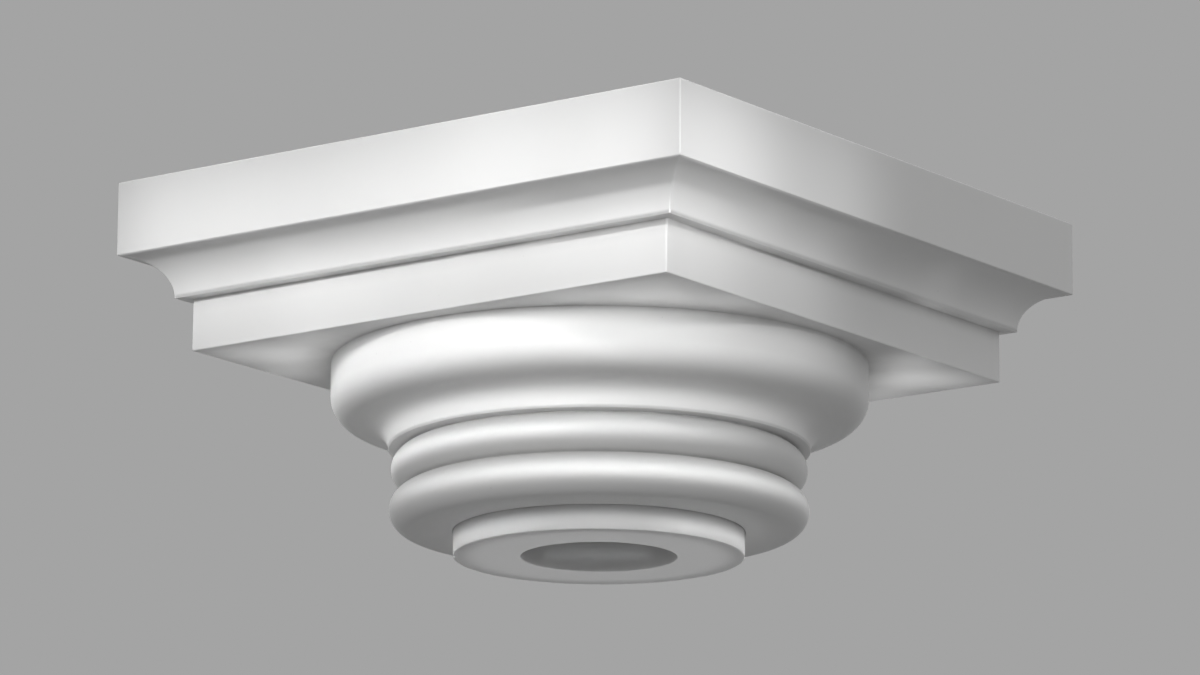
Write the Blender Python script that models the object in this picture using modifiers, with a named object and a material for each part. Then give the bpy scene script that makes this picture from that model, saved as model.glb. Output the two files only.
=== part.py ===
"""Column capital: a square moulded abacus over a turned echinus and two beads, on a locating ring.

Metres, +Z up. The origin is the centre of the ring's foot, and the abacus is on top.
"""
import math

import bpy

# Square part, from the top down
ABACUS_SIDE = 0.450         # outer side of the square
FASCIA_HEIGHT = 0.049       # tall plain face
COVE_RADIUS = 0.027         # hollow quarter round under the fascia
BAND_SETBACK = 0.0085       # soffit ledge from the hollow in to the band
BAND_HEIGHT = 0.0345        # lower, inset square band

# Turned part, from the top down
ECHINUS_RADIUS = 0.176
ECHINUS_WALL_HEIGHT = 0.0225
OVOLO_RADIUS = 0.0175       # convex quarter round under the wall
NECK_COVE_WIDTH = 0.0205    # hollow quarter round, inwards
NECK_COVE_HEIGHT = 0.017    # and downwards
BEAD_SETBACK = 0.015        # flat ledge from the neck in to the middle of the beads
UPPER_BEAD_RADIUS = 0.013
LOWER_BEAD_RADIUS = 0.014

# Locating ring and the bore
RING_RADIUS = 0.095
RING_DROP = 0.016           # how far the ring stands down below the underside
RING_RECESS = 0.004         # how far it is let up into the underside
SEAT_GAP = 0.0003           # round the ring and over it, filled by the adhesive
BORE_RADIUS = 0.051         # runs up through the ring and the capital

# Drawing values
EMBED = 0.010               # how far the turned part reaches up into the square one
CUT_MARGIN = 0.010          # how far the bore's cutter stands past each face
SQUARE_STEPS = 4
ROUND_STEPS = 72
QUARTER_STEPS = 6
MERGE_DISTANCE = 0.00001
SHARP_ANGLE = math.radians(35)

# Finishes: colour and roughness
WHITE_CASTING = ((0.84, 0.84, 0.83), 0.55)
GREY_RING = ((0.55, 0.55, 0.55), 0.70)

# Levels, from the ring's foot up
UNDERSIDE_Z = RING_DROP
RECESS_Z = UNDERSIDE_Z + RING_RECESS
GROOVE_Z = UNDERSIDE_Z + 2 * LOWER_BEAD_RADIUS
LEDGE_Z = GROOVE_Z + 2 * UPPER_BEAD_RADIUS
OVOLO_FOOT_Z = LEDGE_Z + NECK_COVE_HEIGHT
WALL_FOOT_Z = OVOLO_FOOT_Z + OVOLO_RADIUS
SOFFIT_Z = WALL_FOOT_Z + ECHINUS_WALL_HEIGHT
COVE_FOOT_Z = SOFFIT_Z + BAND_HEIGHT
FASCIA_FOOT_Z = COVE_FOOT_Z + COVE_RADIUS
TOP_Z = FASCIA_FOOT_Z + FASCIA_HEIGHT

# Radii and half sides worked out from the same values
HALF_SIDE = ABACUS_SIDE / 2
COVE_FOOT_HALF = HALF_SIDE - COVE_RADIUS
BAND_HALF = COVE_FOOT_HALF - BAND_SETBACK
OVOLO_FOOT_RADIUS = ECHINUS_RADIUS - OVOLO_RADIUS
NECK_RADIUS = OVOLO_FOOT_RADIUS - NECK_COVE_WIDTH
BEAD_CENTRE_RADIUS = NECK_RADIUS - BEAD_SETBACK
RECESS_RADIUS = RING_RADIUS + SEAT_GAP


def arc(centre, width, height, start_degrees, end_degrees, steps):
    """Points on an ellipse's arc in the (radius, z) plane, both ends included."""
    points = []
    for step in range(steps + 1):
        angle = math.radians(start_degrees + (end_degrees - start_degrees) * step / steps)
        points.append((centre[0] + width * math.cos(angle), centre[1] + height * math.sin(angle)))
    return points


def abacus_profile():
    """Half section square to one side: top, fascia, hollow, ledge, band and soffit."""
    points = [(0.0, TOP_Z), (HALF_SIDE, TOP_Z)]
    points += arc((HALF_SIDE, COVE_FOOT_Z), COVE_RADIUS, COVE_RADIUS, 90, 180, QUARTER_STEPS)
    points += [(BAND_HALF, COVE_FOOT_Z), (BAND_HALF, SOFFIT_Z), (0.0, SOFFIT_Z)]
    return points


def echinus_profile():
    """Half section of the turned part, from inside the abacus down to the ring's recess."""
    top_z = SOFFIT_Z + EMBED
    points = [(0.0, top_z), (ECHINUS_RADIUS, top_z)]
    points += arc((OVOLO_FOOT_RADIUS, WALL_FOOT_Z), OVOLO_RADIUS, OVOLO_RADIUS, 0, -90, QUARTER_STEPS)
    hollow = arc((OVOLO_FOOT_RADIUS, LEDGE_Z), NECK_COVE_WIDTH, NECK_COVE_HEIGHT, 90, 180, QUARTER_STEPS)
    points += hollow[1:]
    upper_centre = (BEAD_CENTRE_RADIUS, GROOVE_Z + UPPER_BEAD_RADIUS)
    points += arc(upper_centre, UPPER_BEAD_RADIUS, UPPER_BEAD_RADIUS, 90, -90, 2 * QUARTER_STEPS)
    lower_centre = (BEAD_CENTRE_RADIUS, UNDERSIDE_Z + LOWER_BEAD_RADIUS)
    lower = arc(lower_centre, LOWER_BEAD_RADIUS, LOWER_BEAD_RADIUS, 90, -90, 2 * QUARTER_STEPS)
    points += lower[1:]
    points += [(RECESS_RADIUS, UNDERSIDE_Z), (RECESS_RADIUS, RECESS_Z), (0.0, RECESS_Z)]
    return points


def ring_profile():
    """Closed section of the locating ring."""
    top_z = RECESS_Z - SEAT_GAP
    return [(BORE_RADIUS, top_z), (RING_RADIUS, top_z), (RING_RADIUS, 0.0), (BORE_RADIUS, 0.0)]


def new_collection(name):
    collection = bpy.data.collections.new(name)
    bpy.context.scene.collection.children.link(collection)
    return collection


def new_material(name, finish):
    colour, roughness = finish
    material = bpy.data.materials.new(name)
    material.use_nodes = True
    shader = material.node_tree.nodes["Principled BSDF"]
    shader.inputs["Base Color"].default_value = (*colour, 1.0)
    shader.inputs["Roughness"].default_value = roughness
    shader.inputs["Metallic"].default_value = 0.0
    return material


def turned(name, profile, steps, collection, closed=False):
    """An object whose (radius, z) profile is swept once round Z by a Screw modifier."""
    mesh = bpy.data.meshes.new(name)
    vertices = [(radius, 0.0, z) for radius, z in profile]
    edges = [(i, i + 1) for i in range(len(vertices) - 1)]
    if closed:
        edges.append((len(vertices) - 1, 0))
    mesh.from_pydata(vertices, edges, [])
    piece = bpy.data.objects.new(name, mesh)
    collection.objects.link(piece)
    screw = piece.modifiers.new("Turn", "SCREW")
    screw.axis = "Z"
    screw.steps = steps
    screw.render_steps = steps
    screw.use_merge_vertices = True
    screw.merge_threshold = MERGE_DISTANCE
    return piece


def shade(piece, material):
    piece.data.materials.append(material)
    piece.data.shade_smooth()
    piece.data.set_sharp_from_angle(angle=SHARP_ANGLE)


def as_mesh(piece):
    """Replace an object's mesh and modifiers by its evaluated mesh, in world space."""
    graph = bpy.context.evaluated_depsgraph_get()
    evaluated = piece.evaluated_get(graph)
    mesh = bpy.data.meshes.new_from_object(evaluated)
    mesh.transform(evaluated.matrix_world)
    piece.modifiers.clear()
    piece.data = mesh
    piece.rotation_euler = (0.0, 0.0, 0.0)


def cutter_look(piece):
    piece.hide_render = True
    piece.display_type = "WIRE"


def combine(piece, other, operation):
    boolean = piece.modifiers.new(operation.title(), "BOOLEAN")
    boolean.operation = operation
    boolean.solver = "EXACT"
    boolean.object = other


def build():
    for old in list(bpy.data.objects):
        bpy.data.objects.remove(old, do_unlink=True)

    parts = new_collection("column_capital")
    tools = new_collection("cutters")

    # A sweep in four steps is a square with its corners on the axes, so its profile is drawn
    # out to the corners, and an eighth of a turn brings the sides square to X and Y.
    corner_profile = [(half_side * math.sqrt(2), z) for half_side, z in abacus_profile()]
    capital = turned("capital", corner_profile, SQUARE_STEPS, parts)
    capital.rotation_euler = (0.0, 0.0, math.radians(45))
    as_mesh(capital)

    echinus = turned("echinus_form", echinus_profile(), ROUND_STEPS, tools)
    cutter_look(echinus)
    combine(capital, echinus, "UNION")

    bore_length = TOP_Z - UNDERSIDE_Z + 2 * CUT_MARGIN
    bpy.ops.mesh.primitive_cylinder_add(
        vertices=ROUND_STEPS, radius=BORE_RADIUS, depth=bore_length,
        location=(0.0, 0.0, (TOP_Z + UNDERSIDE_Z) / 2))
    bore = bpy.context.object
    bore.name = "bore_cutter"
    for owner in list(bore.users_collection):
        owner.objects.unlink(bore)
    tools.objects.link(bore)
    cutter_look(bore)
    combine(capital, bore, "DIFFERENCE")

    ring = turned("locating_ring", ring_profile(), ROUND_STEPS, parts, closed=True)

    shade(capital, new_material("white_casting", WHITE_CASTING))
    shade(ring, new_material("grey_ring", GREY_RING))


build()
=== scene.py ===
import math

import bpy
from mathutils import Matrix, Vector


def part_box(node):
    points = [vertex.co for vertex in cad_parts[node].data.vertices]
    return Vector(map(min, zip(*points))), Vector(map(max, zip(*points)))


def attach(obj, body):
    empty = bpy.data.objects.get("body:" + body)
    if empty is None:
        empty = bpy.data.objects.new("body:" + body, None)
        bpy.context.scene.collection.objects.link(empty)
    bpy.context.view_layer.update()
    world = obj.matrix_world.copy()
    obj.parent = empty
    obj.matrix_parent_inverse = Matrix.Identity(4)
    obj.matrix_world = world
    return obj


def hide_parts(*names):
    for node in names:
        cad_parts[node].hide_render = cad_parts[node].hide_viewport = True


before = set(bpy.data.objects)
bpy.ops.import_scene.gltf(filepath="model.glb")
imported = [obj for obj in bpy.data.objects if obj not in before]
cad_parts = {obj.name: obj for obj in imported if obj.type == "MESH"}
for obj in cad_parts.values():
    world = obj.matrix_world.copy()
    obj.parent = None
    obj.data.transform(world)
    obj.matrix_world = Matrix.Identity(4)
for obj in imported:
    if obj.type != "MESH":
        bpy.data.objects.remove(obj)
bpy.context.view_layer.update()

print("frame loaded")

# All lengths are in metres unless a note says otherwise


def newCollection(name):
    collection = bpy.data.collections.new(name)
    bpy.context.scene.collection.children.link(collection)
    return collection


looks = newCollection("looks")
studio = newCollection("studio")


# Small helpers for node trees

def addNode(tree, kind, inputs=None, **settings):
    node = tree.nodes.new(kind)
    for name, value in settings.items():
        setattr(node, name, value)
    for key, value in (inputs or {}).items():
        feed(tree, value, node.inputs[key])
    return node


# A socket takes another node's output, or a plain value
def feed(tree, value, socket):
    if isinstance(value, bpy.types.NodeSocket):
        tree.links.new(value, socket)
    else:
        socket.default_value = value


def calculate(tree, operation, first, second=0.0, third=None):
    inputs = {0: first, 1: second}
    if third is not None:
        inputs[2] = third
    return addNode(tree, "ShaderNodeMath", inputs, operation=operation).outputs[0]


# Inputs and outputs are given as names with the kind of their socket
def newGroup(name, kind, inputs, outputs):
    group = bpy.data.node_groups.new(name, kind)
    for label, socketType in inputs.items():
        group.interface.new_socket(label, in_out="INPUT", socket_type=socketType)
    for label, socketType in outputs.items():
        group.interface.new_socket(label, in_out="OUTPUT", socket_type=socketType)
    return group, group.nodes.new("NodeGroupInput"), group.nodes.new("NodeGroupOutput")


# The capital and the ring are both one closed profile swept round the column's axis.
# A point of a profile has its reach from the axis, its height, how square the outline is there
# (0 is a circle, 1 a square), and the rounding of the square's upright arrises.

sweepSteps = {
    "cornerSteps": 6,        # round each upright arris of the square
    "sideSteps": 50,         # along each side
    "arrisSteps": 5,
    "innerCornerSteps": 4,
    "creviceSteps": 6,
    "quarterSteps": 16,
    "faceStep": 0.009,       # longest stretch of a flat face between two points
    "support": 0.0004,       # the strip beside a rounding that keeps the face beyond it flat
    "margin": 0.003,
    "touching": 0.0000001,   # runs that end and start this close share a point
    "leastRound": 0.02,      # least rounding of an upright arris, as a share of the arris beside it
    "arrisFade": 0.0012,
    "recessFade": 0.0025,
    "unevennessScale": 14.0,
    "mergeDistance": 0.000002,
}

profileShape = ("reach", "height", "square", "planRound")


def profilePoint(reach, height, square, planRound, arris=0.0, recess=0.0):
    return {"reach": reach, "height": height, "square": square, "planRound": planRound,
            "arris": arris, "recess": recess}


def distanceBetween(a, b):
    return math.hypot(b["reach"] - a["reach"], b["height"] - a["height"])


def arcRun(centre, width, height, start, end, steps, square=0.0, planRound=0.0, arris=0.0, recess=0.0):
    run = []
    for i in range(steps + 1):
        angle = math.radians(start + (end - start) * i / steps)
        reach = centre[0] + width * math.cos(angle)
        level = centre[1] + height * math.sin(angle)
        run.append(profilePoint(reach, level, square, planRound, arris, recess))
    return run


# An outer edge rounded through 90 degrees; side is the way from the edge to the solid
def outerArris(reach, height, radius, start, side, square=0.0):
    centre = (reach - radius, height + side * radius)
    run = arcRun(centre, radius, radius, start, start - 90, sweepSteps["arrisSteps"], square, arris=1.0)
    least = radius * sweepSteps["leastRound"]
    for p in run:
        p["planRound"] = max(radius - (reach - p["reach"]), least) * square
    return run


# The lower edge of a bore or a recess: from a face that looks down to a wall that looks inwards
def lowerBoreArris(reach, height, radius):
    centre = (reach + radius, height + radius)
    return arcRun(centre, radius, radius, -90, -180, sweepSteps["arrisSteps"], arris=1.0)


# The upper edge of a bore
def upperBoreArris(reach, height, radius):
    centre = (reach + radius, height - radius)
    return arcRun(centre, radius, radius, 180, 90, sweepSteps["arrisSteps"], arris=1.0)


# The fillet where an upright face starts under a ledge
def innerCorner(reach, height, radius, square=0.0, planRound=0.0):
    centre = (reach + radius, height - radius)
    steps = sweepSteps["innerCornerSteps"]
    return arcRun(centre, radius, radius, 90, 180, steps, square, planRound, recess=1.0)


# Joins the runs into one closed profile, with points along each flat stretch between two of them
def joinRuns(runs):
    support, margin, step = sweepSteps["support"], sweepSteps["margin"], sweepSteps["faceStep"]
    profile = []
    for i, run in enumerate(runs):
        a, b = run[-1], runs[(i + 1) % len(runs)][0]
        profile += run
        length = distanceBetween(a, b)
        if length < sweepSteps["touching"]:
            profile.pop()
            continue
        stops = []
        if length > 3 * support:
            stops += [support, length - support]
        if length > 3 * margin:
            count = max(1, math.ceil((length - 2 * margin) / step))
            stops += [margin + (length - 2 * margin) * n / count for n in range(count + 1)]
        for stop in sorted(stops):
            share = stop / length
            mixed = {key: a[key] + (b[key] - a[key]) * share for key in profileShape}
            profile.append(profilePoint(**mixed))
    return profile


# Lets the marks for worn arrises and for recesses fade away along the profile; the materials darken the
# recesses with dust and painted shade
def spreadMarks(profile):
    place = [0.0]
    for a, b in zip(profile, profile[1:]):
        place.append(place[-1] + distanceBetween(a, b))
    for kind in ("arris", "recess"):
        width = sweepSteps[kind + "Fade"]
        sources = [s for s, p in zip(place, profile) if p[kind] > 0]
        for s, p in zip(place, profile):
            nearest = min((abs(s - t) for t in sources), default=math.inf)
            p[kind] = math.exp(-nearest / width)


capitalSizes = {
    "fasciaHeight": 0.049,
    "coveRadius": 0.027,
    "bandSetback": 0.0085,
    "bandHeight": 0.0345,
    "echinusRadius": 0.176,
    "ovoloRadius": 0.0175,
    "neckCoveWidth": 0.0205,
    "neckCoveHeight": 0.017,
    "beadSetback": 0.015,
    "upperBead": 0.013,
    "lowerBead": 0.014,
    "recessGap": 0.0003,
    "recessDepth": 0.004,
    "boreRadius": 0.051,
    "arris": 0.0009,         # rounding of the outer edges
    "ledgeArris": 0.0006,    # and of the finer ones on the ledges
    "innerCorner": 0.0005,   # fillet where a face meets a ledge
    "crevice": 0.0004,       # fillet in the grooves beside the beads
    "unevenness": 0.00006,   # how far the cast faces wander
    "seed": 1.0,
}


# Heights and reaches of the capital's mouldings
def capitalPlaces(sizes):
    low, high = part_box("capital")
    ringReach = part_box("locating_ring")[1].x
    fasciaFoot = high.z - sizes["fasciaHeight"]
    coveFoot = fasciaFoot - sizes["coveRadius"]
    groove = low.z + 2 * sizes["lowerBead"]
    ledge = groove + 2 * sizes["upperBead"]
    coveHalf = high.x - sizes["coveRadius"]
    ovoloReach = sizes["echinusRadius"] - sizes["ovoloRadius"]
    neckReach = ovoloReach - sizes["neckCoveWidth"]
    return {
        "top": high.z,
        "fasciaFoot": fasciaFoot,
        "coveFoot": coveFoot,
        "soffit": coveFoot - sizes["bandHeight"],
        "wallFoot": ledge + sizes["neckCoveHeight"] + sizes["ovoloRadius"],
        "ledge": ledge,
        "groove": groove,
        "recessTop": low.z + sizes["recessDepth"],
        "underside": low.z,
        "half": high.x,
        "coveHalf": coveHalf,
        "bandHalf": coveHalf - sizes["bandSetback"],
        "ovoloReach": ovoloReach,
        "neckReach": neckReach,
        "beadReach": neckReach - sizes["beadSetback"],
        "recessReach": ringReach + sizes["recessGap"],
    }


# The square part, from its top edge down to the foot of the band
def abacusRuns(sizes, at):
    cove, arris, fine, inner = sizes["coveRadius"], sizes["arris"], sizes["ledgeArris"], sizes["innerCorner"]
    coveStart = 90 + math.degrees(math.asin(arris / cove))
    coveEnd = 180 - math.degrees(math.asin(fine / cove))
    return [
        outerArris(at["half"], at["top"], arris, 90, -1, square=1.0),
        outerArris(at["half"], at["fasciaFoot"], arris, 0, 1, square=1.0),
        arcRun((at["half"], at["coveFoot"]), cove, cove, coveStart, coveEnd, sweepSteps["quarterSteps"],
               square=1.0, planRound=arris),
        outerArris(at["coveHalf"], at["coveFoot"], fine, 0, 1, square=1.0),
        innerCorner(at["bandHalf"], at["coveFoot"], inner, square=1.0, planRound=arris + inner),
        outerArris(at["bandHalf"], at["soffit"], arris, 0, 1, square=1.0),
    ]


# The round wall, the convex and the concave quarter round, and the edge of the ledge
def echinusRuns(sizes, at):
    ovolo, neckHeight, fine = sizes["ovoloRadius"], sizes["neckCoveHeight"], sizes["ledgeArris"]
    quarter = sweepSteps["quarterSteps"]
    neckEnd = 180 - math.degrees(math.asin(fine / neckHeight))
    return [
        innerCorner(sizes["echinusRadius"], at["soffit"], sizes["innerCorner"]),
        arcRun((at["ovoloReach"], at["wallFoot"]), ovolo, ovolo, 0, -90, quarter),
        arcRun((at["ovoloReach"], at["ledge"]), sizes["neckCoveWidth"], neckHeight, 90, neckEnd, quarter),
        outerArris(at["neckReach"], at["ledge"], fine, 0, 1),
    ]


# The fillet between a bead and the ledge above it, and the angle at which it meets the bead
def creviceUnderLedge(centre, radius, fillet):
    out = 2 * math.sqrt(radius * fillet)
    filletCentre = (centre[0] + out, centre[1] + radius - fillet)
    meets = math.degrees(math.atan2(radius - fillet, out))
    run = arcRun(filletCentre, fillet, fillet, 90, 180 + meets, sweepSteps["creviceSteps"], recess=1.0)
    return run, meets


# The fillet in the groove between two beads that touch, and its angle on each of them
def creviceBetweenBeads(upperCentre, upperRadius, lowerRadius, fillet):
    grooveHeight = upperCentre[1] - upperRadius
    rise = -fillet * (upperRadius - lowerRadius) / (upperRadius + lowerRadius)
    out = math.sqrt((upperRadius + fillet) ** 2 - (rise - upperRadius) ** 2)
    onUpper = math.degrees(math.atan2(rise - upperRadius, out))
    onLower = math.degrees(math.atan2(rise + lowerRadius, out))
    filletCentre = (upperCentre[0] + out, grooveHeight + rise)
    steps = sweepSteps["creviceSteps"]
    run = arcRun(filletCentre, fillet, fillet, 180 + onUpper, 180 + onLower, steps, recess=1.0)
    return run, onUpper, onLower


def beadRuns(sizes, at):
    upper, lower, crevice = sizes["upperBead"], sizes["lowerBead"], sizes["crevice"]
    steps = 2 * sweepSteps["quarterSteps"]
    upperCentre = (at["beadReach"], at["groove"] + upper)
    lowerCentre = (at["beadReach"], at["groove"] - lower)
    underLedge, upperStart = creviceUnderLedge(upperCentre, upper, crevice)
    betweenBeads, upperEnd, lowerStart = creviceBetweenBeads(upperCentre, upper, lower, crevice)
    return [
        underLedge,
        arcRun(upperCentre, upper, upper, upperStart, upperEnd, steps),
        betweenBeads,
        arcRun(lowerCentre, lower, lower, lowerStart, -90, steps),
    ]


# The ring's recess in the underside, and the bore from there up to the top
def boreRuns(sizes, at):
    bore, arris, fine, inner = sizes["boreRadius"], sizes["arris"], sizes["ledgeArris"], sizes["innerCorner"]
    recessCorner = (at["recessReach"] - inner, at["recessTop"] - inner)
    return [
        lowerBoreArris(at["recessReach"], at["underside"], fine),
        arcRun(recessCorner, inner, inner, 0, 90, sweepSteps["innerCornerSteps"], recess=1.0),
        lowerBoreArris(bore, at["recessTop"], fine),
        upperBoreArris(bore, at["top"], arris),
    ]


def capitalProfile(sizes):
    at = capitalPlaces(sizes)
    squarePart = abacusRuns(sizes, at)
    roundPart = echinusRuns(sizes, at) + beadRuns(sizes, at) + boreRuns(sizes, at)
    return joinRuns(squarePart + roundPart)


ringSizes = {
    "boreRadius": 0.051,
    "arris": 0.0006,
    "unevenness": 0.00002,
    "seed": 2.0,
}


def ringProfile(sizes):
    low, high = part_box("locating_ring")
    arris, bore = sizes["arris"], sizes["boreRadius"]
    return joinRuns([
        outerArris(high.x, high.z, arris, 90, -1),
        outerArris(high.x, low.z, arris, 0, 1),
        lowerBoreArris(bore, low.z, arris),
        upperBoreArris(bore, high.z, arris),
    ])


def profileObject(name, profile):
    spreadMarks(profile)
    mesh = bpy.data.meshes.new(name)
    count = len(profile)
    points = [(p["reach"], 0.0, p["height"]) for p in profile]
    mesh.from_pydata(points, [(i, (i + 1) % count) for i in range(count)], [])
    for key in ("square", "planRound", "arris", "recess"):
        attribute = mesh.attributes.new(key, "FLOAT", "POINT")
        attribute.data.foreach_set("value", [p[key] for p in profile])
    return bpy.data.objects.new(name, mesh)


# Sweeps the profile round the axis, each point along its own outline between a circle and a square
def buildSweepTree():
    tree, given, result = newGroup("sweepRoundAxis", "GeometryNodeTree", {
        "Profile": "NodeSocketGeometry",
        "Corner Steps": "NodeSocketInt",
        "Side Steps": "NodeSocketInt",
        "Support": "NodeSocketFloat",
        "Arris Fade": "NodeSocketFloat",
        "Unevenness": "NodeSocketFloat",
        "Unevenness Scale": "NodeSocketFloat",
        "Merge Distance": "NodeSocketFloat",
        "Seed": "NodeSocketFloat",
        "Material": "NodeSocketMaterial",
    }, {"Geometry": "NodeSocketGeometry"})

    def calc(operation, first, second=0.0, third=None):
        return calculate(tree, operation, first, second, third)

    corner, side = given.outputs["Corner Steps"], given.outputs["Side Steps"]
    size = addNode(tree, "GeometryNodeAttributeDomainSize", {0: given.outputs["Profile"]}, component="MESH")
    profileCount = size.outputs["Point Count"]
    quarterCount = calc("ADD", corner, side)
    aroundCount = calc("MULTIPLY", quarterCount, 4.0)
    rows = calc("ADD", profileCount, 1.0)
    grid = addNode(tree, "GeometryNodeMeshGrid", {
        "Vertices X": calc("ADD", aroundCount, 1.0),
        "Vertices Y": rows,
    })

    # Which outline step and which profile point a vertex of the grid stands for
    index = addNode(tree, "GeometryNodeInputIndex").outputs[0]
    column = calc("FLOOR", calc("DIVIDE", calc("ADD", index, 0.5), rows))
    row = calc("SUBTRACT", index, calc("MULTIPLY", column, rows))
    outlineStep = calc("FLOORED_MODULO", column, aroundCount)
    profileStep = calc("FLOORED_MODULO", row, profileCount)

    def sample(field, kind):
        return addNode(tree, "GeometryNodeSampleIndex", {
            "Geometry": given.outputs["Profile"], "Value": field, "Index": profileStep,
        }, data_type=kind, domain="POINT").outputs["Value"]

    def sampleNamed(name):
        named = addNode(tree, "GeometryNodeInputNamedAttribute", {"Name": name}, data_type="FLOAT")
        return sample(named.outputs["Attribute"], "FLOAT")

    position = addNode(tree, "GeometryNodeInputPosition").outputs[0]
    place = addNode(tree, "ShaderNodeSeparateXYZ", {0: sample(position, "FLOAT_VECTOR")})
    reach, height = place.outputs["X"], place.outputs["Z"]
    square, planRound = sampleNamed("square"), sampleNamed("planRound")

    # The square's outline in its first quarter: a rounded corner, then a straight side
    quarter = calc("FLOOR", calc("DIVIDE", calc("ADD", outlineStep, 0.5), quarterCount))
    step = calc("SUBTRACT", outlineStep, calc("MULTIPLY", quarter, quarterCount))
    cornerAngle = calc("MULTIPLY", calc("MINIMUM", calc("DIVIDE", step, corner), 1.0), math.pi / 2)
    sideStep = calc("MAXIMUM", calc("SUBTRACT", step, corner), 0.0)
    inset = calc("SUBTRACT", reach, planRound)
    held = calc("DIVIDE", calc("MULTIPLY", given.outputs["Support"], 0.5), inset)
    evenly = calc("DIVIDE", calc("SUBTRACT", sideStep, 1.0), calc("SUBTRACT", side, 2.0))
    clamped = calc("MINIMUM", calc("MAXIMUM", evenly, held), calc("SUBTRACT", 1.0, held))
    along = calc("MULTIPLY", clamped, calc("GREATER_THAN", sideStep, 0.5))
    acrossSquare = calc("ADD", calc("MULTIPLY", inset, calc("MULTIPLY_ADD", along, -2.0, 1.0)),
                        calc("MULTIPLY", planRound, calc("COSINE", cornerAngle)))
    outSquare = calc("ADD", inset, calc("MULTIPLY", planRound, calc("SINE", cornerAngle)))

    # The circle's, evenly spaced over the same quarter
    turn = calc("MULTIPLY_ADD", calc("DIVIDE", step, quarterCount), math.pi / 2, math.pi / 4)
    acrossCircle = calc("MULTIPLY", reach, calc("COSINE", turn))
    outCircle = calc("MULTIPLY", reach, calc("SINE", turn))

    def between(circle, squared):
        return calc("ADD", circle, calc("MULTIPLY", square, calc("SUBTRACT", squared, circle)))

    local = addNode(tree, "ShaderNodeCombineXYZ", {
        "X": between(acrossCircle, acrossSquare), "Y": between(outCircle, outSquare), "Z": height})
    turned = addNode(tree, "ShaderNodeVectorRotate", {
        "Vector": local.outputs[0], "Angle": calc("MULTIPLY", quarter, math.pi / 2)}, rotation_type="Z_AXIS")
    swept = addNode(tree, "GeometryNodeSetPosition", {
        "Geometry": grid.outputs["Mesh"], "Position": turned.outputs[0]})

    # Marks for the materials: worn arrises, upright ones too, and recesses, which the materials darken with
    # dust and painted shade
    fromEnd = calc("MINIMUM", along, calc("SUBTRACT", 1.0, along))
    fromCorner = calc("MULTIPLY", calc("MULTIPLY", fromEnd, 2.0), inset)
    fade = calc("DIVIDE", fromCorner, calc("MULTIPLY", given.outputs["Arris Fade"], -1.0))
    uprightArris = calc("MULTIPLY", calc("EXPONENT", fade), square)
    marks = {"arris": calc("MAXIMUM", sampleNamed("arris"), uprightArris), "recess": sampleNamed("recess")}
    geometry = swept.outputs["Geometry"]
    for name, value in marks.items():
        geometry = addNode(tree, "GeometryNodeStoreNamedAttribute", {
            "Geometry": geometry, "Name": name, "Value": value,
        }, data_type="FLOAT", domain="POINT").outputs["Geometry"]
    merged = addNode(tree, "GeometryNodeMergeByDistance", {
        "Geometry": geometry, "Distance": given.outputs["Merge Distance"]})

    # The faces wander by a hair, as a casting's do
    noise = addNode(tree, "ShaderNodeTexNoise", {
        "Vector": position, "W": given.outputs["Seed"],
        "Scale": given.outputs["Unevenness Scale"], "Detail": 2.0}, noise_dimensions="4D")
    wander = calc("MULTIPLY", calc("MULTIPLY_ADD", noise.outputs[0], 2.0, -1.0), given.outputs["Unevenness"])
    offset = addNode(tree, "ShaderNodeVectorMath", {
        0: addNode(tree, "GeometryNodeInputNormal").outputs[0], "Scale": wander}, operation="SCALE")
    uneven = addNode(tree, "GeometryNodeSetPosition", {
        "Geometry": merged.outputs["Geometry"], "Offset": offset.outputs[0]})
    smooth = addNode(tree, "GeometryNodeSetShadeSmooth", {"Geometry": uneven.outputs["Geometry"]})
    real = addNode(tree, "GeometryNodeRealizeInstances", {"Geometry": smooth.outputs["Geometry"]})
    painted = addNode(tree, "GeometryNodeSetMaterial", {
        "Geometry": real.outputs["Geometry"], "Material": given.outputs["Material"]})
    tree.links.new(painted.outputs["Geometry"], result.inputs["Geometry"])
    return tree


def sweptPiece(name, profile, tree, material, sizes):
    source = profileObject(name + "Profile", profile)
    looks.objects.link(source)
    modifier = source.modifiers.new("sweep", "NODES")
    modifier.node_group = tree
    values = {
        "Corner Steps": sweepSteps["cornerSteps"],
        "Side Steps": sweepSteps["sideSteps"],
        "Support": sweepSteps["support"],
        "Arris Fade": sweepSteps["arrisFade"],
        "Unevenness": sizes["unevenness"],
        "Unevenness Scale": sweepSteps["unevennessScale"],
        "Merge Distance": sweepSteps["mergeDistance"],
        "Seed": sizes["seed"],
        "Material": material,
    }
    for item in tree.interface.items_tree:
        if item.in_out == "INPUT" and item.name in values:
            modifier[item.identifier] = values[item.name]
    graph = bpy.context.evaluated_depsgraph_get()
    mesh = bpy.data.meshes.new_from_object(source.evaluated_get(graph))
    mesh.name = name
    bpy.data.objects.remove(source)
    piece = bpy.data.objects.new(name, mesh)
    looks.objects.link(piece)
    print(name, len(mesh.polygons), "faces")
    return piece


# Materials

grainSizes = {
    "mottleDetail": 5.0,
    "mottleRoughness": 0.55,
    "grainDetail": 3.0,
    "grainRoughness": 0.6,
    "grainHeight": 0.35,     # against a pin hole's depth of 1
    "pinHolesFrom": 0.86,    # the cells above this share have a pin hole
}


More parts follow.
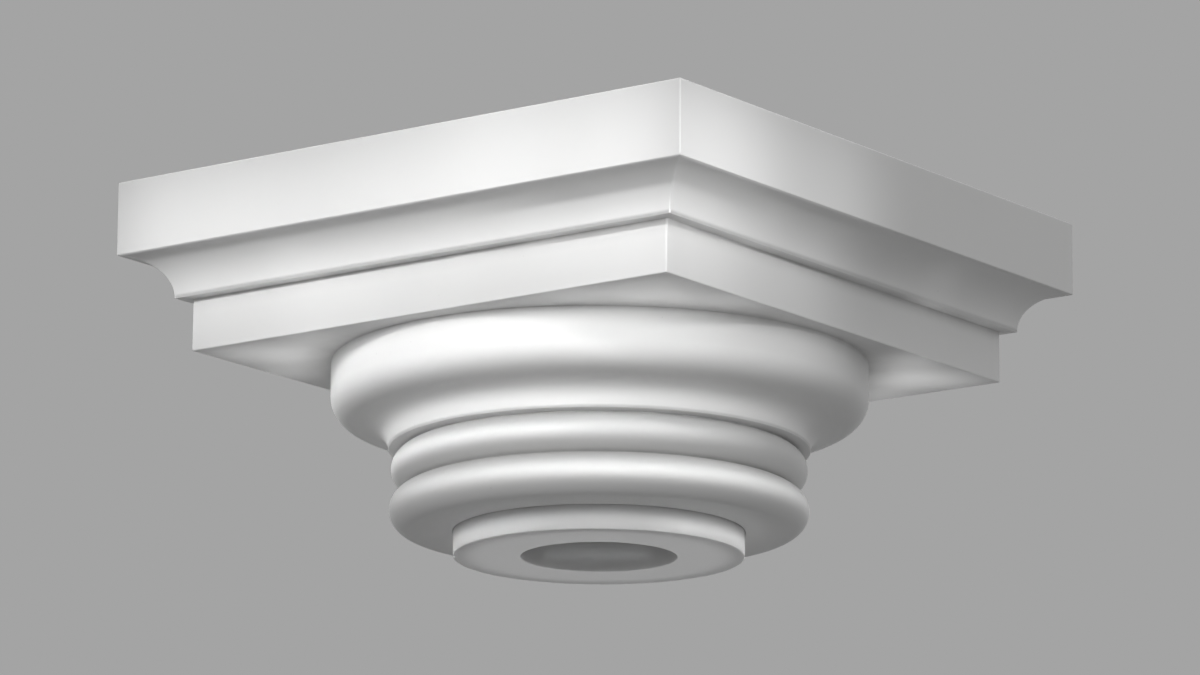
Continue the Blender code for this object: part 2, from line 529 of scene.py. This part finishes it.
# Fine grain of a cast or moulded face: a soft mottle, a grain and scattered pin holes
def buildGrainGroup(sizes):
    group, given, result = newGroup("fineGrain", "ShaderNodeTree", {
        "Mottle Scale": "NodeSocketFloat",
        "Grain Scale": "NodeSocketFloat",
        "Pin Hole Scale": "NodeSocketFloat",
        "Pin Hole Size": "NodeSocketFloat",
    }, {
        "Mottle": "NodeSocketFloat",
        "Grain": "NodeSocketFloat",
        "Pin Holes": "NodeSocketFloat",
        "Height": "NodeSocketFloat",
    })
    coordinates = addNode(group, "ShaderNodeTexCoord").outputs["Object"]
    mottle = addNode(group, "ShaderNodeTexNoise", {
        "Vector": coordinates, "Scale": given.outputs["Mottle Scale"],
        "Detail": sizes["mottleDetail"], "Roughness": sizes["mottleRoughness"]})
    grain = addNode(group, "ShaderNodeTexNoise", {
        "Vector": coordinates, "Scale": given.outputs["Grain Scale"],
        "Detail": sizes["grainDetail"], "Roughness": sizes["grainRoughness"]})
    cells = addNode(group, "ShaderNodeTexVoronoi", {
        "Vector": coordinates, "Scale": given.outputs["Pin Hole Scale"], "Randomness": 1.0})
    pick = addNode(group, "ShaderNodeSeparateColor", {0: cells.outputs["Color"]})
    chosen = calculate(group, "GREATER_THAN", pick.outputs[0], sizes["pinHolesFrom"])
    radius = calculate(group, "MULTIPLY", given.outputs["Pin Hole Size"], pick.outputs[1])
    inside = calculate(group, "LESS_THAN", cells.outputs["Distance"], radius)
    hole = calculate(group, "MULTIPLY", inside, chosen)
    raised = calculate(group, "MULTIPLY", grain.outputs[0], sizes["grainHeight"])
    group.links.new(mottle.outputs[0], result.inputs["Mottle"])
    group.links.new(grain.outputs[0], result.inputs["Grain"])
    group.links.new(hole, result.inputs["Pin Holes"])
    group.links.new(calculate(group, "SUBTRACT", raised, hole), result.inputs["Height"])
    return group


wearSizes = {
    "detail": 4.0,
    "noiseRange": (0.35, 0.65),      # where the noise leaves a mark at its least and in full
    "leastRubbed": 0.25,
    # least share of the recess darkening, dust and painted shade, where the noise leaves it weakest
    "leastDustAndShade": 0.65,
}


# Masks for rubbed arrises and for the darkening in recesses, dust and painted shade together, broken up by
# noise
def buildWearGroup(sizes):
    group, given, result = newGroup(
        "rubbedAndDustAndShade", "ShaderNodeTree", {"Break Up Scale": "NodeSocketFloat"},
        {"Rubbed": "NodeSocketFloat", "Dust And Shade": "NodeSocketFloat"})
    coordinates = addNode(group, "ShaderNodeTexCoord").outputs["Object"]
    noise = addNode(group, "ShaderNodeTexNoise", {
        "Vector": coordinates, "Scale": given.outputs["Break Up Scale"], "Detail": sizes["detail"]})
    low, high = sizes["noiseRange"]
    broken = addNode(group, "ShaderNodeMapRange", {
        "Value": noise.outputs[0], "From Min": low, "From Max": high})
    for name, label, least in (("arris", "Rubbed", "leastRubbed"), ("recess", "Dust And Shade", "leastDustAndShade")):
        mark = addNode(group, "ShaderNodeAttribute", attribute_name=name)
        share = addNode(group, "ShaderNodeMapRange", {
            "Value": broken.outputs[0], "To Min": sizes[least], "To Max": 1.0})
        masked = calculate(group, "MULTIPLY", mark.outputs["Fac"], share.outputs[0])
        group.links.new(masked, result.inputs[label])
    return group


def addGroup(tree, group, values):
    node = tree.nodes.new("ShaderNodeGroup")
    node.node_tree = group
    for name, value in values.items():
        node.inputs[name].default_value = value
    return node


def mixColour(tree, share, first, second):
    node = tree.nodes.new("ShaderNodeMix")
    node.data_type = "RGBA"
    feed(tree, share, node.inputs[0])
    feed(tree, first, node.inputs[6])
    feed(tree, second, node.inputs[7])
    return node.outputs[2]


def newMaterial(name):
    material = bpy.data.materials.new(name)
    material.use_nodes = True
    tree = material.node_tree
    return material, tree, tree.nodes["Principled BSDF"]


# What both finishes share: a mottle, the marks over it, and a fine grain in the gloss and the relief
def finishSurface(tree, shader, grainGroup, wearGroup, finish):
    grain = addGroup(tree, grainGroup, {
        "Mottle Scale": finish["mottleScale"], "Grain Scale": finish["grainScale"],
        "Pin Hole Scale": finish["pinHoleScale"], "Pin Hole Size": finish["pinHoleSize"]})
    wear = addGroup(tree, wearGroup, {"Break Up Scale": finish["breakUpScale"]})
    body = mixColour(tree, grain.outputs["Mottle"], finish["light"], finish["dark"])
    # Rubbed arrises go lighter; recesses and pin holes go darker towards one colour that stands for dust and
    # painted shade
    for mask, share, colour in (
            (wear.outputs["Rubbed"], "rubbedShare", "rubbed"),
            (wear.outputs["Dust And Shade"], "dustAndShadeShare", "dustAndShade"),
            (grain.outputs["Pin Holes"], "pinHoleShare", "dustAndShade")):
        body = mixColour(tree, calculate(tree, "MULTIPLY", mask, finish[share]), body, finish[colour])
    tree.links.new(body, shader.inputs["Base Color"])
    low, high = finish["roughness"]
    rough = addNode(tree, "ShaderNodeMapRange", {
        "Value": grain.outputs["Grain"], "To Min": low, "To Max": high})
    tree.links.new(rough.outputs[0], shader.inputs["Roughness"])
    bump = addNode(tree, "ShaderNodeBump", {
        "Height": grain.outputs["Height"],
        "Strength": finish["bumpStrength"], "Distance": finish["bumpDistance"]})
    tree.links.new(bump.outputs[0], shader.inputs["Normal"])


castingFinish = {
    "light": (0.860, 0.860, 0.856, 1.0),
    "dark": (0.822, 0.822, 0.818, 1.0),
    "rubbed": (0.885, 0.885, 0.880, 1.0),
    # darker colour for recesses and pin holes: dust and painted shade
    "dustAndShade": (0.46, 0.455, 0.45, 1.0),
    "rubbedShare": 0.5,      # how strongly each mark shows
    "dustAndShadeShare": 0.55,
    "pinHoleShare": 0.25,
    "roughness": (0.46, 0.56),
    "mottleScale": 8.0,
    "grainScale": 620.0,
    "pinHoleScale": 150.0,
    "pinHoleSize": 0.08,
    "breakUpScale": 55.0,
    "bumpStrength": 0.25,
    "bumpDistance": 0.0001,
}


# Fine white cast stone, smooth from the mould
def castingMaterial(grainGroup, wearGroup, finish):
    material, tree, shader = newMaterial("whiteCasting")
    finishSurface(tree, shader, grainGroup, wearGroup, finish)
    return material


ringFinish = {
    "light": (0.64, 0.64, 0.64, 1.0),
    "dark": (0.61, 0.61, 0.61, 1.0),
    "rubbed": (0.68, 0.68, 0.68, 1.0),
    # darker colour for recesses: dust and painted shade
    "dustAndShade": (0.36, 0.36, 0.355, 1.0),
    "rubbedShare": 0.5,
    "dustAndShadeShare": 0.4,
    "pinHoleShare": 0.0,     # moulded plastic has none
    "roughness": (0.48, 0.60),
    "mottleScale": 14.0,
    "grainScale": 900.0,
    "pinHoleScale": 220.0,
    "pinHoleSize": 0.0,
    "breakUpScale": 90.0,
    "bumpStrength": 0.2,
    "bumpDistance": 0.00006,
    "scatter": 0.4,
    "scatterRadius": (0.015, 0.015, 0.015),
}


# Milky light grey plastic
def ringMaterial(grainGroup, wearGroup, finish):
    material, tree, shader = newMaterial("greyRing")
    finishSurface(tree, shader, grainGroup, wearGroup, finish)
    shader.inputs["Subsurface Weight"].default_value = finish["scatter"]
    shader.inputs["Subsurface Radius"].default_value = finish["scatterRadius"]
    shader.inputs["Subsurface Scale"].default_value = 1.0
    return material


grainGroup = buildGrainGroup(grainSizes)
wearGroup = buildWearGroup(wearSizes)
sweepTree = buildSweepTree()
whiteCasting = castingMaterial(grainGroup, wearGroup, castingFinish)
greyRing = ringMaterial(grainGroup, wearGroup, ringFinish)
print("materials ready")

capital = sweptPiece("capitalCasting", capitalProfile(capitalSizes), sweepTree, whiteCasting, capitalSizes)
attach(capital, "root")
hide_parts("capital")

ring = sweptPiece("locatingRing", ringProfile(ringSizes), sweepTree, greyRing, ringSizes)
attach(ring, "root")
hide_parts("locating_ring")
print("capital and ring ready")


# Studio: a pale floor far below, an even grey surround and soft lights, most of them on the camera's left

studioSizes = {
    "floorHeight": -1.6,
    "floorHalf": 60.0,
    "floorColour": (0.78, 0.78, 0.78, 1.0),
    "floorBounce": (0.40, 0.40, 0.40, 1.0),     # the floor's colour in the light it throws back up
    "floorRoughness": 0.9,
    "surround": 0.371,       # the even grey behind the object, as linear light
    "fill": 0.50,            # what the surround gives to the object
}

# What a light has unless its group or its own line says otherwise: its outline's shape, the point it is aimed
# at, where it stands from there in degrees, and how far away
usualLight = {"shape": "RECTANGLE", "aim": (0, 0, 0), "azimuth": 0, "elevation": 0, "distance": 1.2}
straightBelow = -89.9        # degrees; the last tenth keeps a light's azimuth to turn it by

# The lights, in groups by moulding. A group's lights share a width and height and the spread of their beams
# in degrees, and each has its own power in watts.
lightGroups = {
    "abacus": {
        "shared": {"size": (0.15, 0.11), "spread": 6.0},
        "Left": {"aim": (-0.15, -0.21, 0.182), "azimuth": -8, "elevation": 14, "power": 0.028},
        "Middle": {"aim": (0, -0.21, 0.182), "azimuth": 12, "elevation": 14, "power": 0.028},
        "High": {"aim": (0.15, -0.21, 0.182), "azimuth": -8, "elevation": 26, "power": 0.026},
    },
    "abacusRight": {
        "shared": {"size": (0.12, 0.11), "spread": 6.0},
        "Middle": {"aim": (0.225, -0.08, 0.182), "azimuth": 90, "elevation": 12, "power": 0.010},
        "High": {"aim": (0.225, -0.2, 0.182), "azimuth": 90, "elevation": 25, "power": 0.012},
        "Corner": {"aim": (0.225, -0.2, 0.182), "azimuth": 65, "power": 0.016},
    },
    "soffit": {
        "shared": {"elevation": straightBelow, "size": (0.05, 0.05), "spread": 2.6},
        "Near": {"aim": (0.158, -0.158, 0.11), "power": 0.0018},
        "Left": {"aim": (-0.158, -0.158, 0.11), "power": 0.0024},
        "Right": {"aim": (0.158, 0.158, 0.11), "power": 0.0024},
        "Far": {"aim": (-0.158, 0.158, 0.11), "power": 0.0024},
    },
    "soffitStrip": {
        "shared": {"elevation": straightBelow, "size": (0.14, 0.025), "spread": 2.8},
        "Near": {"aim": (0.14, -0.14, 0.11), "azimuth": 45, "power": 0.0034},
        "Left": {"aim": (-0.14, -0.14, 0.11), "azimuth": -45, "power": 0.0038},
        "Right": {"aim": (0.14, 0.14, 0.11), "azimuth": 135, "power": 0.0038},
        "Far": {"aim": (-0.14, 0.14, 0.11), "azimuth": -135, "power": 0.0038},
    },
    "echinus": {
        "shared": {"aim": (0, 0, 0.108), "size": (0.4, 0.03), "spread": 1.2},
        "Left": {"azimuth": -15, "power": 0.0036},
        "Middle": {"azimuth": 15, "power": 0.014},
    },
    "neck": {
        "shared": {"aim": (0, 0, 0.076), "size": (0.36, 0.014), "spread": 0.9},
        "Left": {"azimuth": -10, "power": 0.0025},
        "Front": {"azimuth": 25, "power": 0.008},
    },
    "upperBead": {
        "shared": {"aim": (0, 0, 0.058), "size": (0.32, 0.006), "spread": 0.9},
        "Left": {"azimuth": 0, "power": 0.006},
    },
    "lowerBead": {
        "shared": {"aim": (0, 0, 0.0315), "size": (0.32, 0.006), "spread": 0.9},
        "Left": {"azimuth": 15, "power": 0.0013},
        "Right": {"azimuth": 45, "power": 0.005},
    },
    "ring": {
        "shared": {"aim": (0, 0, 0.005), "size": (0.24, 0.006), "spread": 1.0},
        "Left": {"azimuth": -35, "power": 0.005},
        "Right": {"azimuth": 105, "power": 0.006},
    },
    "foot": {
        "shared": {"elevation": straightBelow, "shape": "ELLIPSE", "size": (0.178, 0.178), "spread": 1.4},
        "Below": {"power": 0.024},
    },
    "bore": {
        "shared": {"size": (0.07, 0.008), "spread": 0.5},
        "Mouth": {"azimuth": 36, "elevation": -13, "power": 0.0002},
    },
    "front": {
        "shared": {"aim": (0, 0, 0.12), "distance": 2.0, "size": (0.4, 0.4), "spread": 20.0},
        "Window": {"azimuth": 15, "elevation": 8, "power": 0.14},
    },
    "top": {
        "shared": {"aim": (0, 0, 0.2375), "distance": 2.0, "size": (0.5, 0.5), "spread": 14.0},
        "Light": {"azimuth": -144, "elevation": 80, "power": 0.24},
    },
    "rear": {
        "shared": {"aim": (0, 0, 0.12), "distance": 3.0, "size": (0.3, 0.3), "spread": 9.0},
        "Light": {"azimuth": -144, "elevation": 20, "power": 0.3},
    },
}


# From the column, the way to a place at this azimuth, from the -Y side towards +X, and this elevation
def directionOf(azimuth, elevation):
    a, e = math.radians(azimuth), math.radians(elevation)
    return Vector((math.sin(a) * math.cos(e), -math.cos(a) * math.cos(e), math.sin(e)))


def addSoftLight(name, sizes):
    light = bpy.data.lights.new(name, "AREA")
    light.shape = sizes["shape"]
    light.size, light.size_y = sizes["size"]
    light.energy = sizes["power"]
    light.spread = math.radians(sizes["spread"])
    lamp = bpy.data.objects.new(name, light)
    studio.objects.link(lamp)
    away = directionOf(sizes["azimuth"], sizes["elevation"])
    lamp.location = Vector(sizes["aim"]) + away * sizes["distance"]
    lamp.rotation_euler = away.to_track_quat("Z", "Y").to_euler()
    lamp.visible_camera = False


def buildLights(groups):
    for groupName, group in groups.items():
        for label, own in group.items():
            if label != "shared":
                addSoftLight(groupName + label, {**usualLight, **group["shared"], **own})


# Seen from above it is a plain floor; from below it lets the view through
def buildFloor(sizes):
    half = sizes["floorHalf"]
    mesh = bpy.data.meshes.new("floor")
    corners = [(-half, -half, 0), (half, -half, 0), (half, half, 0), (-half, half, 0)]
    mesh.from_pydata(corners, [], [(0, 1, 2, 3)])
    floor = bpy.data.objects.new("floor", mesh)
    floor.location.z = sizes["floorHeight"]
    studio.objects.link(floor)
    material, tree, shader = newMaterial("paleFloor")
    path = addNode(tree, "ShaderNodeLightPath")
    colour = mixColour(tree, path.outputs["Is Camera Ray"], sizes["floorBounce"], sizes["floorColour"])
    tree.links.new(colour, shader.inputs["Base Color"])
    shader.inputs["Roughness"].default_value = sizes["floorRoughness"]
    clear = addNode(tree, "ShaderNodeBsdfTransparent")
    side = addNode(tree, "ShaderNodeNewGeometry")
    mix = addNode(tree, "ShaderNodeMixShader", {0: side.outputs["Backfacing"]})
    tree.links.new(shader.outputs[0], mix.inputs[1])
    tree.links.new(clear.outputs[0], mix.inputs[2])
    tree.links.new(mix.outputs[0], tree.nodes["Material Output"].inputs["Surface"])
    mesh.materials.append(material)


def buildSurround(sizes):
    world = bpy.data.worlds.new("surround")
    world.use_nodes = True
    tree = world.node_tree
    background = tree.nodes["Background"]
    background.inputs["Color"].default_value = (1.0, 1.0, 1.0, 1.0)
    path = addNode(tree, "ShaderNodeLightPath")
    level = addNode(tree, "ShaderNodeMapRange", {
        "Value": path.outputs["Is Camera Ray"], "To Min": sizes["fill"], "To Max": sizes["surround"]})
    tree.links.new(level.outputs[0], background.inputs["Strength"])
    bpy.context.scene.world = world


cameraSizes = {
    "azimuth": 36.28,        # degrees
    "elevation": -13.02,     # degrees; the camera is below and looks up
    "distance": 4.132,
    "aimHeight": 0.1468,
    "roll": 0.30,            # degrees
    "lens": 189.0,           # mm
    "sensorWidth": 36.0,     # mm
    "clipEnd": 500.0,
}


def buildCamera(sizes):
    data = bpy.data.cameras.new("camera")
    data.lens = sizes["lens"]
    data.sensor_width = sizes["sensorWidth"]
    data.clip_end = sizes["clipEnd"]
    camera = bpy.data.objects.new("camera", data)
    studio.objects.link(camera)
    back = directionOf(sizes["azimuth"], sizes["elevation"])
    camera.location = Vector((0, 0, sizes["aimHeight"])) + back * sizes["distance"]
    upright = back.to_track_quat("Z", "Y").to_matrix()
    rolled = upright @ Matrix.Rotation(math.radians(sizes["roll"]), 3, "Z")
    camera.rotation_euler = rolled.to_euler()
    bpy.context.scene.camera = camera


buildFloor(studioSizes)
buildSurround(studioSizes)
buildLights(lightGroups)
buildCamera(cameraSizes)
bpy.context.scene.view_settings.view_transform = "Standard"
print("studio ready")
